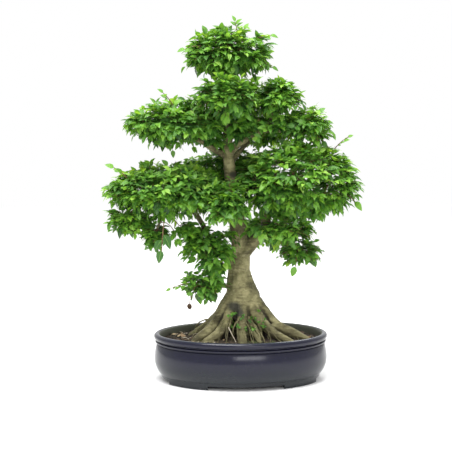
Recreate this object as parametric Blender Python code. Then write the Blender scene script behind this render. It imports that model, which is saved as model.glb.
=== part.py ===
"""A bonsai tree in an oval glazed pot: the pot with its drainage screens, the soil, the trunk with its
surface roots, the branches, and one closed solid for each pad of leaves. Metres, +Z up, feet on z = 0."""

import math

import bmesh
import bpy
from mathutils import Matrix, Vector, noise

# The pot. Its outline is an oval, and each profile point is an inset from that oval.
POT_LENGTH = 0.400
POT_WIDTH = 0.310
POT_HEIGHT = 0.108
POT_WALL = 0.011
POT_FLOOR = 0.012
POT_SEGMENTS = 36
BASE_INSET = 0.015
BASE_BAND_HEIGHT = 0.007
BASE_BAND_STEP = 0.0025
NECK_INSET = 0.004
BELLY_STEPS = 6
WALL_STEPS = 4
LIP_HEIGHT = 0.0150
LIP_WIDTH = 0.0150
LIP_TURNS = (-60, 200, 36)
BAND_HEIGHT = 0.0100
BAND_INSET = 0.003
GROOVE_DEPTH = 0.0022
FLOOR_FILLET = 0.006
FOOT_HEIGHT = 0.006
FOOT_WIDTH = 0.018
FOOT_GAP_FRONT = 0.170
FOOT_GAP_SIDE = 0.110
DRAIN_RADIUS = 0.011
DRAIN_SEGMENTS = 20
DRAIN_SPACING = 0.170

# The drainage screens, which lie on the pot's floor over its holes.
SCREEN_SIZE = 0.044
SCREEN_THICKNESS = 0.0016
SCREEN_STRAP = 0.0024
SCREEN_HOLES = 4

# The soil, mounded up to the trunk.
SOIL_BELOW_RIM = 0.017
SOIL_MOUND = 0.010
SOIL_CROWN = 0.020
SOIL_RINGS = 3

# The tree, from the top of the mound to the tip of the trunk, and across its crown.
TREE_HEIGHT = 0.672
CROWN_SPREAD = 0.600
TREE_TURN = math.radians(-5)
TRUNK_GIRTH = 1.0
BRANCH_GIRTH = 1.0
PAD_SWELL = 1.0
CLUMP_SIZE = 0.040
CLUMP_DEPTH = 0.017
CLUMP_LIMIT = 0.3
CLUMP_SEED = 0.37

# How finely the wood is divided: its sides, and its steps from each point to the next.
TRUNK_FINENESS = (1, 12)
BRANCH_FINENESS = (2, 6)

# The angles up to which edges are shaded smooth.
SMOOTH_UP_TO = 35
LEAVES_SMOOTH_UP_TO = 60

# The middle of the whole object's box lies beside the middle of the pot, because the crown leans over
# to the left.
POT_MIDDLE = (0.0200, -0.0260, 0.0)

GAP = 0.0003
PAD_GAP = 0.0012
CUT_SPARE = 0.004

SOIL_EDGE = POT_HEIGHT - SOIL_BELOW_RIM
SOIL_TOP = SOIL_EDGE + SOIL_MOUND
FLOOR_TOP = FOOT_HEIGHT + POT_FLOOR
BELLY_BOTTOM = FOOT_HEIGHT + BASE_BAND_HEIGHT
BELLY_TOP = POT_HEIGHT - LIP_HEIGHT - BAND_HEIGHT

# The trunk: x and y in hundredths of the crown's spread, z in hundredths of the tree's height, and the
# radius.
TRUNK = [
    (0.0, 0.0, -5.0, 0.020),
    (0.0, 0.0, 0.0, 0.024),
    (0.2, 0.0, 4.0, 0.030),
    (0.4, 0.0, 8.0, 0.040),
    (0.8, 0.2, 12.0, 0.043),
    (0.6, 0.5, 14.5, 0.038),
    (-0.2, 0.8, 18.0, 0.031),
    (-0.7, 1.0, 22.0, 0.025),
    (-0.3, 1.2, 27.0, 0.0220),
    (-0.2, 1.2, 31.0, 0.0205),
    (-1.2, 1.0, 37.5, 0.0185),
    (-2.8, 0.5, 47.0, 0.0155),
    (-4.3, 0.0, 57.0, 0.0132),
    (-4.8, -0.3, 62.0, 0.0120),
    (-5.2, -0.5, 70.0, 0.0100),
    (-4.8, -1.0, 80.0, 0.0080),
    (-5.0, -1.5, 91.0, 0.0055),
    (-5.0, -2.0, 97.0, 0.0040),
]

# The surface roots, each from inside the trunk out over the soil and down into it.
ROOTS = [
    [
        (-3, -1, 13, 0.020),
        (-7.5, -3, 7, 0.0185),
        (-12, -6.5, 2.4, 0.014),
        (-17, -10, 0, 0.009),
        (-19, -11, -3, 0.006),
    ],
    [
        (-2, -3.5, 11.5, 0.016),
        (-5, -7, 5.5, 0.014),
        (-9, -10.5, 1.5, 0.011),
        (-13, -12.5, -0.6, 0.008),
        (-15, -14, -3, 0.005),
    ],
    [
        (0, -3.5, 12, 0.018),
        (0.4, -7, 6.5, 0.017),
        (0.5, -10.5, 2, 0.0145),
        (0.5, -14, -0.3, 0.011),
        (0.5, -17, -3, 0.007),
    ],
    [
        (1, -4.5, 9.5, 0.009),
        (3, -8, 5, 0.0075),
        (5.5, -11.5, 1.2, 0.006),
        (7.5, -14, -1, 0.005),
        (8.5, -15.5, -3, 0.004),
    ],
    [
        (3, -1, 14, 0.022),
        (7, -2, 9, 0.0205),
        (11.5, -3, 4.6, 0.0165),
        (18, -4.5, 1.8, 0.0115),
        (25, -6, -0.4, 0.0065),
        (27.5, -6.8, -3, 0.004),
    ],
    [
        (3.5, -3.5, 11.5, 0.015),
        (7.5, -6.5, 5.5, 0.0135),
        (13, -9.5, 1.6, 0.010),
        (19, -12, -0.6, 0.006),
        (22, -13, -3, 0.004),
    ],
    [
        (-3, 1, 12.5, 0.017),
        (-8.5, 1.8, 6, 0.016),
        (-14, 2, 2.2, 0.012),
        (-19, 1.5, -0.3, 0.008),
        (-22, 1, -3, 0.005),
    ],
    [
        (-2, 3, 12, 0.018),
        (-7, 6.5, 5.5, 0.016),
        (-11.5, 9.5, 1.5, 0.012),
        (-15, 12.5, -0.6, 0.007),
        (-17, 14, -3, 0.005),
    ],
    [
        (0, 4, 12, 0.017),
        (-0.5, 8.5, 5, 0.015),
        (-1, 12.5, 1.2, 0.010),
        (-1, 16, -0.8, 0.006),
        (-1, 18, -3, 0.004),
    ],
    [
        (3, 3.5, 12.5, 0.018),
        (6.5, 7, 5.5, 0.016),
        (10, 10.5, 1.6, 0.012),
        (13.5, 14, -0.6, 0.007),
        (14.5, 16, -3, 0.005),
    ],
    [
        (4, 1.5, 12.5, 0.017),
        (9, 3, 5.5, 0.015),
        (14, 4.5, 1.6, 0.010),
        (18, 5.5, -0.6, 0.006),
        (20, 6, -3, 0.004),
    ],
]

# Each branch: what it grows from, its points, and its radius at each end.
BRANCHES = {
    "branch_middle_right": (
        "trunk",
        [
            (1, 0, 28),
            (5, 0, 32),
            (8.5, -0.5, 35.5),
            (10, -1, 40.5),
            (10, -1.5, 45),
            (15, -2, 50),
            (24, -2, 53),
        ],
        (0.0165, 0.0060),
    ),
    "branch_lower_left": (
        "trunk",
        [(-2, 0, 23), (-5, -0.5, 26), (-10.5, -1.5, 30.5), (-14.5, -2, 38), (-20, -2, 44.5), (-29, -2, 48.5)],
        (0.0095, 0.0050),
    ),
    "branch_upper_left": (
        "trunk",
        [(-4.5, 0, 61), (-7.5, 0, 62), (-12.5, 0, 64.5), (-16, -0.5, 66.5), (-26, -2, 70)],
        (0.0090, 0.0040),
    ),
    "branch_upper_right": (
        "trunk",
        [(-4, 0, 62), (-1.5, 0, 64.5), (1, 0, 66), (8, -1, 69.5), (16, -2, 69.7), (25, -3, 71)],
        (0.0080, 0.0040),
    ),
    "branch_upper_right_inner": (
        "branch_upper_right",
        [(8, -1, 69.3), (11, -1.5, 73), (13, -2, 79)],
        (0.0050, 0.0030),
    ),
    "branch_upper_back": ("trunk", [(-4.5, 0, 58), (0, 8, 63), (7, 18, 69)], (0.0070, 0.0040)),
    "branch_crown_front": ("trunk", [(-5, -1, 70), (-5.5, -6, 74), (-6, -13, 79)], (0.0055, 0.0030)),
    "branch_crown_back": ("trunk", [(-5, 0, 72), (-4, 8, 76), (-3, 13, 80)], (0.0055, 0.0030)),
    "branch_trunk_front": ("trunk", [(-2, 0, 38), (-4, -7, 42), (-5, -14, 45)], (0.0055, 0.0030)),
    "branch_middle_back": ("trunk", [(-2, 1, 40), (-4, 9, 46), (-5, 19, 52.5)], (0.0100, 0.0050)),
    "branch_lower_back": ("trunk", [(0, 1, 24), (3, 9, 29), (7, 18, 33)], (0.0065, 0.0035)),
    "branch_middle_right_low": (
        "branch_middle_right",
        [(9.5, -1, 38.5), (13.5, -5, 37), (18, -7, 34)],
        (0.0050, 0.0030),
    ),
    "branch_low_right": (
        "branch_middle_right",
        [(8.5, -0.5, 35), (13, -2, 33), (19, -3, 30)],
        (0.0060, 0.0030),
    ),
    "branch_lower_left_tip": (
        "branch_lower_left",
        [(-27, -2, 48), (-35, -2, 46), (-41, -2, 42.5), (-44, -2, 38)],
        (0.0040, 0.0025),
    ),
    "branch_lower_left_hanging": (
        "branch_lower_left",
        [(-22, -2, 45.5), (-28, -5, 42.5), (-31.5, -7, 37)],
        (0.0040, 0.0025),
    ),
    "branch_left_spray": (
        "branch_lower_left",
        [(-7.5, -1, 28.2), (-11, -3, 28.8), (-15, -4, 30.5)],
        (0.0040, 0.0025),
    ),
    "branch_lowest_left": ("trunk", [(-2, -1, 16.5), (-8, -3, 17.2), (-14.5, -5, 18.5)], (0.0050, 0.0030)),
}

# How finely a pad of leaves is divided, round it and from its top to its underside.
TINY = (10, 6)
COARSE = (16, 9)
FINE = (26, 14)

# Each pad of leaves: its middle, its half length, half depth, rise and drop, and how finely it is divided.
PADS = {
    "leaves_crown": ((-5, -2, 92.5), (0.096, 0.086, 0.086, 0.046), FINE),
    "leaves_crown_front": ((-6, -14, 79.5), (0.068, 0.050, 0.062, 0.050), COARSE),
    "leaves_crown_back": ((-3, 14, 80), (0.082, 0.062, 0.058, 0.044), COARSE),
    "leaves_upper_left": ((-24.5, -2, 70), (0.114, 0.096, 0.072, 0.048), FINE),
    "leaves_upper_right_inner": ((13.5, -3, 79.5), (0.054, 0.066, 0.052, 0.045), COARSE),
    "leaves_upper_right_outer": ((25, -3, 70.5), (0.050, 0.062, 0.050, 0.042), COARSE),
    "leaves_upper_back": ((8, 19, 69.5), (0.098, 0.066, 0.048, 0.036), COARSE),
    "leaves_middle_right": ((21.5, -2, 51), (0.140, 0.118, 0.106, 0.090), FINE),
    "leaves_middle_right_low": ((17, -7, 36.5), (0.056, 0.054, 0.034, 0.032), COARSE),
    "leaves_lower_left": ((-27, -2, 48.5), (0.144, 0.124, 0.074, 0.064), FINE),
    "leaves_lower_left_tip": ((-41.5, -2, 41), (0.048, 0.058, 0.042, 0.042), COARSE),
    "leaves_lower_left_hanging": ((-32.5, -6, 35.5), (0.034, 0.042, 0.036, 0.046), COARSE),
    "leaves_trunk_front": ((-5, -15, 45), (0.044, 0.040, 0.058, 0.052), COARSE),
    "leaves_left_spray": ((-14, -4, 31.5), (0.048, 0.044, 0.042, 0.040), COARSE),
    "leaves_lowest_left": ((-13.5, -5, 17.8), (0.050, 0.042, 0.034, 0.034), COARSE),
    "leaves_low_right": ((22, -3, 28), (0.050, 0.044, 0.036, 0.030), COARSE),
    "leaves_middle_back": ((-5, 20, 53), (0.124, 0.084, 0.072, 0.048), FINE),
    "leaves_lower_back": ((8, 19, 33), (0.080, 0.060, 0.040, 0.036), COARSE),
    "base_sprouts": ((2.2, -11.5, 5.5), (0.024, 0.011, 0.014, 0.010), TINY),
}


def start():
    """An empty scene with one collection for the object and one for what cuts it."""
    for old in list(bpy.data.objects):
        bpy.data.objects.remove(old)
    for name in ("bonsai_tree_in_pot", "cutters"):
        made = bpy.data.collections.new(name)
        bpy.context.scene.collection.children.link(made)


def finish_of(name, colour, roughness):
    """One material with its colour and roughness."""
    made = bpy.data.materials.new(name)
    made.use_nodes = True
    shader = made.node_tree.nodes["Principled BSDF"]
    shader.inputs["Base Color"].default_value = (*colour, 1.0)
    shader.inputs["Roughness"].default_value = roughness
    return made


def part(name, data, finish, parent):
    """One named piece of the object."""
    made = bpy.data.objects.new(name, data)
    bpy.data.collections["bonsai_tree_in_pot"].objects.link(made)
    made.data.materials.append(finish)
    made.parent = parent
    return made


def cutter(name, data, parent):
    """A shape that only cuts or joins, and isn't part of the object."""
    made = bpy.data.objects.new(name, data)
    bpy.data.collections["cutters"].objects.link(made)
    made.parent = parent
    made.hide_render = True
    made.display_type = "WIRE"
    return made


def cut(target, tool, operation="DIFFERENCE"):
    """Cuts target with tool, or joins them."""
    made = target.modifiers.new(tool.name, "BOOLEAN")
    made.operation = operation
    made.object = tool


def mesh_of(name, bm):
    """A bmesh as mesh data, with its faces pointing out."""
    bmesh.ops.recalc_face_normals(bm, faces=bm.faces)
    data = bpy.data.meshes.new(name)
    bm.to_mesh(data)
    bm.free()
    return data


def smooth(piece, degrees=SMOOTH_UP_TO):
    """Shades a piece smooth up to its sharp edges."""
    piece.data.shade_smooth()
    piece.data.set_sharp_from_angle(angle=math.radians(degrees))


# The pot and what it holds


def oval_body(name, stations, segments=POT_SEGMENTS):
    """A body that is an oval at each (inset, height): a capped circle extruded ring by ring, and capped."""
    bm = bmesh.new()
    ring = bmesh.ops.create_circle(bm, cap_ends=True, radius=1.0, segments=segments)["verts"]
    angles = {vert: math.atan2(vert.co.y, vert.co.x) for vert in ring}
    for step, (inset, height) in enumerate(stations):
        if step:
            rim = [edge for edge in bm.edges if all(vert in angles for vert in edge.verts)]
            made = bmesh.ops.extrude_edge_only(bm, edges=rim)["geom"]
            fresh = [vert for vert in made if isinstance(vert, bmesh.types.BMVert)]
            angles = {new: angles[min(angles, key=lambda old: (old.co - new.co).length)] for new in fresh}
        for vert, angle in angles.items():
            vert.co.x = (POT_LENGTH / 2 - inset) * math.cos(angle)
            vert.co.y = (POT_WIDTH / 2 - inset) * math.sin(angle)
            vert.co.z = height
    bmesh.ops.contextual_create(bm, geom=list(angles))
    return mesh_of(name, bm)


def belly_inset(height):
    """How far the pot's side stands inside its widest outline: drawn in at the base and at the neck."""
    share = (height - BELLY_BOTTOM) / (BELLY_TOP - BELLY_BOTTOM)
    return BASE_INSET * (1 - share) ** 4 + NECK_INSET * share**8


def inner_wall():
    """The inside of the wall, from the soil's edge down to the floor, as (inset, height)."""
    low = FLOOR_TOP + FLOOR_FILLET
    heights = [SOIL_EDGE + (low - SOIL_EDGE) * step / WALL_STEPS for step in range(WALL_STEPS + 1)]
    wall = [(POT_WALL + belly_inset(min(height, BELLY_TOP)), height) for height in heights]
    return [*wall, (wall[-1][0] + 2 * FLOOR_FILLET, FLOOR_TOP)]


def lip():
    """The rounded lip, from the groove below it outside, over the top and down to its inner side."""
    across = LIP_WIDTH / 2
    up = LIP_HEIGHT / 2
    turns = [math.radians(degrees) for degrees in range(*LIP_TURNS)]
    return [(across * (1 - math.cos(turn)), POT_HEIGHT - up + up * math.sin(turn)) for turn in turns]


def pot_profile():
    """The pot from the middle of its underside, up its outside, over the lip and down its inside."""
    base = BASE_INSET + BASE_BAND_STEP
    rise = (BELLY_TOP - BELLY_BOTTOM) / BELLY_STEPS
    belly = [BELLY_BOTTOM + rise * step for step in range(BELLY_STEPS + 1)]
    groove = NECK_INSET + GROOVE_DEPTH
    shares = ((groove, 0.2), (BAND_INSET, 0.4), (BAND_INSET, 0.75), (groove, 0.95))
    return [
        (base + FOOT_WIDTH, FOOT_HEIGHT),
        (base + FOOT_WIDTH, 0),
        (base, 0),
        (base, FOOT_HEIGHT),
        (base, BELLY_BOTTOM),
        *[(belly_inset(height), height) for height in belly],
        *[(inset, BELLY_TOP + share * BAND_HEIGHT) for inset, share in shares],
        *lip(),
        *inner_wall(),
    ]


def box_cutter(name, size, middle, parent):
    """A plain box that cuts."""
    bm = bmesh.new()
    bmesh.ops.create_cube(bm, size=1.0)
    for vert in bm.verts:
        vert.co = Vector(a * b + c for a, b, c in zip(vert.co, size, middle))
    return cutter(name, mesh_of(name, bm), parent)


def make_pot(place):
    """The glazed pot: an oval shell whose foot ring is cut into four feet, with two drainage holes."""
    glaze = finish_of("indigo_glaze", (0.012, 0.014, 0.045), 0.15)
    pot = part("pot", oval_body("pot", pot_profile()), glaze, place)
    reach = FOOT_HEIGHT + CUT_SPARE
    front = (FOOT_GAP_FRONT, POT_WIDTH + 2 * CUT_SPARE, reach)
    side = (POT_LENGTH + 2 * CUT_SPARE, FOOT_GAP_SIDE, reach)
    middle = (0, 0, FOOT_HEIGHT - reach / 2)
    cut(pot, box_cutter("foot_gap_front", front, middle, place))
    cut(pot, box_cutter("foot_gap_side", side, middle, place))
    for name, side in (("drain_left", -1), ("drain_right", 1)):
        bm = bmesh.new()
        bmesh.ops.create_cone(
            bm,
            cap_ends=True,
            segments=DRAIN_SEGMENTS,
            radius1=DRAIN_RADIUS,
            radius2=DRAIN_RADIUS,
            depth=3 * POT_FLOOR,
        )
        hole = cutter(name, mesh_of(name, bm), place)
        hole.location = (side * DRAIN_SPACING / 2, 0, FLOOR_TOP)
        cut(pot, hole)
    smooth(pot)


def square(curve, size, x, y):
    """A closed square in a flat curve."""
    spline = curve.splines.new("POLY")
    spline.points.add(3)
    spline.use_cyclic_u = True
    for point, (across, up) in zip(spline.points, ((-1, -1), (1, -1), (1, 1), (-1, 1))):
        point.co = (x + across * size / 2, y + up * size / 2, 0, 1)


def make_screens(place):
    """A square plastic mesh over each drainage hole."""
    plastic = finish_of("black_plastic", (0.01, 0.01, 0.01), 0.6)
    hole = (SCREEN_SIZE - SCREEN_STRAP * (SCREEN_HOLES + 1)) / SCREEN_HOLES
    for name, side in (("drainage_screen_left", -1), ("drainage_screen_right", 1)):
        outline = bpy.data.curves.new(name, "CURVE")
        outline.dimensions = "2D"
        outline.fill_mode = "BOTH"
        outline.extrude = SCREEN_THICKNESS / 2
        outline.resolution_u = 1
        outline.render_resolution_u = 0
        square(outline, SCREEN_SIZE, 0, 0)
        for column in range(SCREEN_HOLES):
            for row in range(SCREEN_HOLES):
                across = (column - (SCREEN_HOLES - 1) / 2) * (hole + SCREEN_STRAP)
                along = (row - (SCREEN_HOLES - 1) / 2) * (hole + SCREEN_STRAP)
                square(outline, hole, across, along)
        screen = part(name, outline, plastic, place)
        screen.location = (side * DRAIN_SPACING / 2, 0, FLOOR_TOP + GAP + SCREEN_THICKNESS / 2)


def make_soil(place, wood):
    """The soil: it fills the pot to below the rim, is mounded to the trunk, and is cut by the roots."""
    dark = finish_of("dark_soil", (0.022, 0.016, 0.010), 0.95)
    wall = [(inset + GAP, height + GAP) for inset, height in reversed(inner_wall())]
    edge_inset = wall[-1][0]
    middle_inset = POT_WIDTH / 2 - SOIL_CROWN
    mound = []
    for step in range(1, SOIL_RINGS + 1):
        share = step / SOIL_RINGS
        inset = edge_inset + (middle_inset - edge_inset) * share
        mound.append((inset, SOIL_EDGE + SOIL_MOUND * math.sin(share * math.pi / 2)))
    soil = part("soil", oval_body("soil", wall + mound), dark, place)
    for name, side in (("pocket_left", -1), ("pocket_right", 1)):
        size = SCREEN_SIZE + 2 * GAP
        deep = SCREEN_THICKNESS + 2 * GAP
        low = FLOOR_TOP - CUT_SPARE
        high = FLOOR_TOP + deep
        middle = (side * DRAIN_SPACING / 2, 0, (low + high) / 2)
        cut(soil, box_cutter(name, (size, size, high - low), middle, place))
    cut(soil, wood)
    smooth(soil)


# The tree


def at(x, y, z):
    """A point of the tree, from hundredths of its spread and height, above the middle of the soil's mound."""
    return Vector((x * CROWN_SPREAD / 100, y * CROWN_SPREAD / 100, SOIL_TOP + z * TREE_HEIGHT / 100))


def smooth_route(places, steps):
    """(point, radius) pairs on a smooth curve through places, with this many steps from each to the next."""
    ends = [places[0], *places, places[-1]]
    route = []
    for a, b, c, d in zip(ends, ends[1:], ends[2:], ends[3:]):
        for step in range(steps):
            t = step / steps
            weights = (
                (-t + 2 * t * t - t**3) / 2,
                (2 - 5 * t * t + 3 * t**3) / 2,
                (t + 4 * t * t - 3 * t**3) / 2,
                (-t * t + t**3) / 2,
            )
            point = sum((w * p for w, (p, _) in zip(weights, (a, b, c, d))), Vector())
            route.append((point, sum(w * r for w, (_, r) in zip(weights, (a, b, c, d)))))
    return [*route, places[-1]]


def stem(name, places, fineness, spare=0.0):
    """A tapering round stem as a mesh: a curve with welded caps. spare makes it thicker and longer."""
    steps, sides = fineness
    route = smooth_route(places, steps)
    curve = bpy.data.curves.new(name, "CURVE")
    curve.dimensions = "3D"
    curve.bevel_depth = 1.0
    curve.bevel_resolution = (sides - 4) // 2
    curve.use_fill_caps = True
    curve.resolution_u = 1
    curve.render_resolution_u = 0
    spline = curve.splines.new("POLY")
    spline.points.add(len(route) - 1)
    route[0] = (route[0][0] - (route[1][0] - route[0][0]).normalized() * spare, route[0][1])
    route[-1] = (route[-1][0] + (route[-1][0] - route[-2][0]).normalized() * spare, route[-1][1])
    for point, (place, radius) in zip(spline.points, route):
        point.co = (*place, 1)
        point.radius = radius + spare
    tube = bpy.data.objects.new(name + "_tube", curve)
    bpy.context.scene.collection.objects.link(tube)
    data = bpy.data.meshes.new_from_object(tube.evaluated_get(bpy.context.evaluated_depsgraph_get()))
    bpy.data.objects.remove(tube)
    bm = bmesh.new()
    bm.from_mesh(data)
    bmesh.ops.remove_doubles(bm, verts=bm.verts, dist=0.00001)
    data.clear_geometry()
    bm.to_mesh(data)
    bm.free()
    return data


def trunk_body(name, tree, spare):
    """The trunk with its surface roots joined to it, as a (mesh, joins) pair."""
    places = [(at(x, y, z), radius * TRUNK_GIRTH) for x, y, z, radius in TRUNK]
    data = stem(name, places, TRUNK_FINENESS, spare)
    roots = []
    for number, root in enumerate(ROOTS, 1):
        places = [(at(x, y, z), radius * TRUNK_GIRTH) for x, y, z, radius in root]
        label = f"{name}_root_{number}"
        roots.append(cutter(label, stem(label, places, BRANCH_FINENESS, spare), tree))
    return data, roots


def make_trunk(tree, bark):
    """The trunk, and the slightly larger copy of it that its neighbours are cut with."""
    data, roots = trunk_body("trunk", tree, 0.0)
    trunk = part("trunk", data, bark, tree)
    for root in roots:
        cut(trunk, root, "UNION")
    smooth(trunk)
    data, roots = trunk_body("trunk_room", tree, GAP)
    room = cutter("trunk_room", data, tree)
    for root in roots:
        cut(room, root, "UNION")
    return room


def make_branches(tree, bark, trunk_room):
    """Every branch, cut off where it meets what it grows from, and the room that each takes in the leaves."""
    rooms = {"trunk": trunk_room}
    for name, (source, points, (thick, thin)) in BRANCHES.items():
        last = len(points) - 1
        radii = [(thick + (thin - thick) * number / last) * BRANCH_GIRTH for number in range(last + 1)]
        places = [(at(*point), radius) for point, radius in zip(points, radii)]
        branch = part(name, stem(name, places, BRANCH_FINENESS), bark, tree)
        cut(branch, rooms[source])
        smooth(branch)
        rooms[name] = cutter(name + "_room", stem(name + "_room", places, BRANCH_FINENESS, GAP), tree)
    return rooms


def pad_mesh(name, spare=0.0):
    """One pad of leaves as a lumpy dome, with a flatter underside. spare makes it larger all round."""
    middle, halves, (round_steps, down_steps) = PADS[name]
    across, deep, rise, drop = (half * PAD_SWELL for half in halves)
    bm = bmesh.new()
    bmesh.ops.create_uvsphere(bm, u_segments=round_steps, v_segments=down_steps, radius=1.0)
    seed = Vector((sum(map(ord, name)), 0, 0)) * CLUMP_SEED
    bmesh.ops.rotate(bm, verts=bm.verts, matrix=Matrix.Rotation(seed.x, 3, "Z"))
    bmesh.ops.triangulate(bm, faces=bm.faces, quad_method="FIXED")
    small = min(across, deep, rise, drop)
    for vert in bm.verts:
        way = vert.co.copy()
        place = Vector((way.x * across, way.y * deep, way.z * (rise if way.z > 0 else drop)))
        lump = noise.noise(place / CLUMP_SIZE + seed) * CLUMP_DEPTH
        lump = max(-CLUMP_LIMIT * small, min(CLUMP_LIMIT * small, lump))
        vert.co = place + way * (lump + spare)
    bmesh.ops.translate(bm, verts=bm.verts, vec=at(*middle))
    return mesh_of(name, bm)


def corners(piece):
    """The lowest and highest corner of a piece and of what is joined to it."""
    joined = [made.object for made in piece.modifiers if made.operation == "UNION"]
    places = [vert.co for each in [piece, *joined] for vert in each.data.vertices]
    low = Vector(min(place[axis] for place in places) for axis in range(3))
    high = Vector(max(place[axis] for place in places) for axis in range(3))
    return low, high


def near(one, other):
    """Whether two pieces' boxes overlap."""
    (low_a, high_a), (low_b, high_b) = corners(one), corners(other)
    return all(low_a[axis] < high_b[axis] and low_b[axis] < high_a[axis] for axis in range(3))


def make_leaves(tree, rooms):
    """Each pad of leaves: cut by the wood that runs into it and by the pads that were made before it."""
    green = finish_of("green_leaves", (0.085, 0.230, 0.030), 0.55)
    made = []
    for name in PADS:
        pad = part(name, pad_mesh(name), green, tree)
        for tool in [*rooms.values(), *made]:
            if near(pad, tool):
                cut(pad, tool)
        made.append(cutter(name + "_room", pad_mesh(name, PAD_GAP), tree))
        smooth(pad, LEAVES_SMOOTH_UP_TO)


def main():
    start()
    place = bpy.data.objects.new("place", None)
    place.location = POT_MIDDLE
    tree = bpy.data.objects.new("tree", None)
    tree.rotation_euler.z = TREE_TURN
    tree.parent = place
    for empty in (place, tree):
        bpy.data.collections["bonsai_tree_in_pot"].objects.link(empty)
    bark = finish_of("grey_brown_bark", (0.265, 0.200, 0.140), 0.85)
    make_pot(place)
    make_screens(place)
    trunk_room = make_trunk(tree, bark)
    make_soil(place, trunk_room)
    make_leaves(tree, make_branches(tree, bark, trunk_room))


main()
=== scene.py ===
"""How a bonsai tree in an oval glazed pot looks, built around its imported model. Metres, +Z up."""

import math

import bmesh
import bpy
import numpy as np
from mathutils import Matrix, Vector, noise
from mathutils.bvhtree import BVHTree


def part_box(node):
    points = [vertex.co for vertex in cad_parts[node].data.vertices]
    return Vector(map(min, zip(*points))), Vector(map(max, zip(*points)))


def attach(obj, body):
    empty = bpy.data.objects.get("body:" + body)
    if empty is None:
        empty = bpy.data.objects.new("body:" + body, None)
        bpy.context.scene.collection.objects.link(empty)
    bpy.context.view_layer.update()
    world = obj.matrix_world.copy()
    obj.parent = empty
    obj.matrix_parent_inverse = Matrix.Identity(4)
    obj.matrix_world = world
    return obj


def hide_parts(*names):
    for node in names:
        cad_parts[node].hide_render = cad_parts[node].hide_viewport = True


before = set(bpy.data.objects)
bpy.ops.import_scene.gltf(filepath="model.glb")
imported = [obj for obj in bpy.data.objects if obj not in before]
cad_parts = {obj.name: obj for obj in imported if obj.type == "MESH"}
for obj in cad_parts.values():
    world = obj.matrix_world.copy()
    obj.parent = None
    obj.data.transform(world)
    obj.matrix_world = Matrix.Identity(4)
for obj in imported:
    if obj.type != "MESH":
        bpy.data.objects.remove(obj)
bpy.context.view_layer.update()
pot_low, pot_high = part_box("pot")
pot_middle = (pot_low + pot_high) / 2


# The camera
# It stands a little to the left of the pot's front, two thirds of the way up the tree, and looks slightly
# down at all of it through a long lens.
VIEW_TURN = math.radians(5)
VIEW_DISTANCE = 2.60
VIEW_HEIGHT = 0.570
AIM_HEIGHT = 0.352
AIM_LEFT = 0.034
LENS = 91


def put(name, data):
    """A new object in the scene."""
    made = bpy.data.objects.new(name, data)
    bpy.context.scene.collection.objects.link(made)
    return made


to_camera = Vector((-math.sin(VIEW_TURN), -math.cos(VIEW_TURN), 0))
to_right = Vector((math.cos(VIEW_TURN), -math.sin(VIEW_TURN), 0))
foot_of_view = Vector((pot_middle.x, pot_middle.y, 0)) - to_right * AIM_LEFT
eye = foot_of_view + to_camera * VIEW_DISTANCE + Vector((0, 0, VIEW_HEIGHT))
aim = foot_of_view + Vector((0, 0, AIM_HEIGHT))
camera = put("camera", bpy.data.cameras.new("camera"))
camera.location = eye
camera.rotation_euler = (aim - eye).to_track_quat("-Z", "Y").to_euler()
camera.data.lens = LENS
bpy.context.scene.camera = camera


# The pot
# An oval stoneware bowl pressed over a mould and dipped in an indigo glaze, with a rounded lip, a raised
# band between two grooves, a base band, and a foot ring cut away to leave four feet.
POT_SEGMENTS = 144
FOOT_HEIGHT = 0.0085
FOOT_WIDTH = 0.018
FOOT_GAP_FRONT = 0.170
FOOT_GAP_SIDE = 0.110
BASE_INSET = 0.015
BASE_BAND_HEIGHT = 0.007
BASE_BAND_STEP = 0.0025
NECK_INSET = 0.006
LIP_HEIGHT = 0.015
LIP_WIDTH = 0.015
BAND_HEIGHT = 0.010
BAND_INSET = 0.003
GROOVE_DEPTH = 0.0022
POT_WALL = 0.011
POT_FLOOR = 0.0095
FLOOR_FILLET = 0.006
SOIL_BELOW_RIM = 0.017
BELLY_STEPS = 12
EDGE_ROUNDING = 0.0009
DRAIN_RADIUS = 0.011
DRAIN_SPACING = 0.170

pot_length = pot_high.x - pot_low.x
pot_width = pot_high.y - pot_low.y
pot_height = pot_high.z
belly_bottom = FOOT_HEIGHT + BASE_BAND_HEIGHT
belly_top = pot_height - LIP_HEIGHT - BAND_HEIGHT
floor_top = FOOT_HEIGHT + POT_FLOOR
soil_edge = pot_height - SOIL_BELOW_RIM


def belly_inset(height):
    """How far the side stands inside the widest outline: drawn in at the base and slightly at the neck."""
    share = (height - belly_bottom) / (belly_top - belly_bottom)
    return BASE_INSET * (1 - share) ** 4 + NECK_INSET * share**4


def inner_wall(spare=0.0):
    """The inside of the wall from the soil's edge down to the floor, as (inset, height)."""
    low = floor_top + FLOOR_FILLET
    wall = []
    for step in range(7):
        height = soil_edge + (low - soil_edge) * step / 6
        wall.append((POT_WALL + spare + belly_inset(min(height, belly_top)), height))
    wall.append((wall[-1][0] + 0.6 * FLOOR_FILLET, low - 0.7 * FLOOR_FILLET))
    wall.append((wall[-1][0] + 1.4 * FLOOR_FILLET, floor_top + spare))
    return wall


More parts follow.
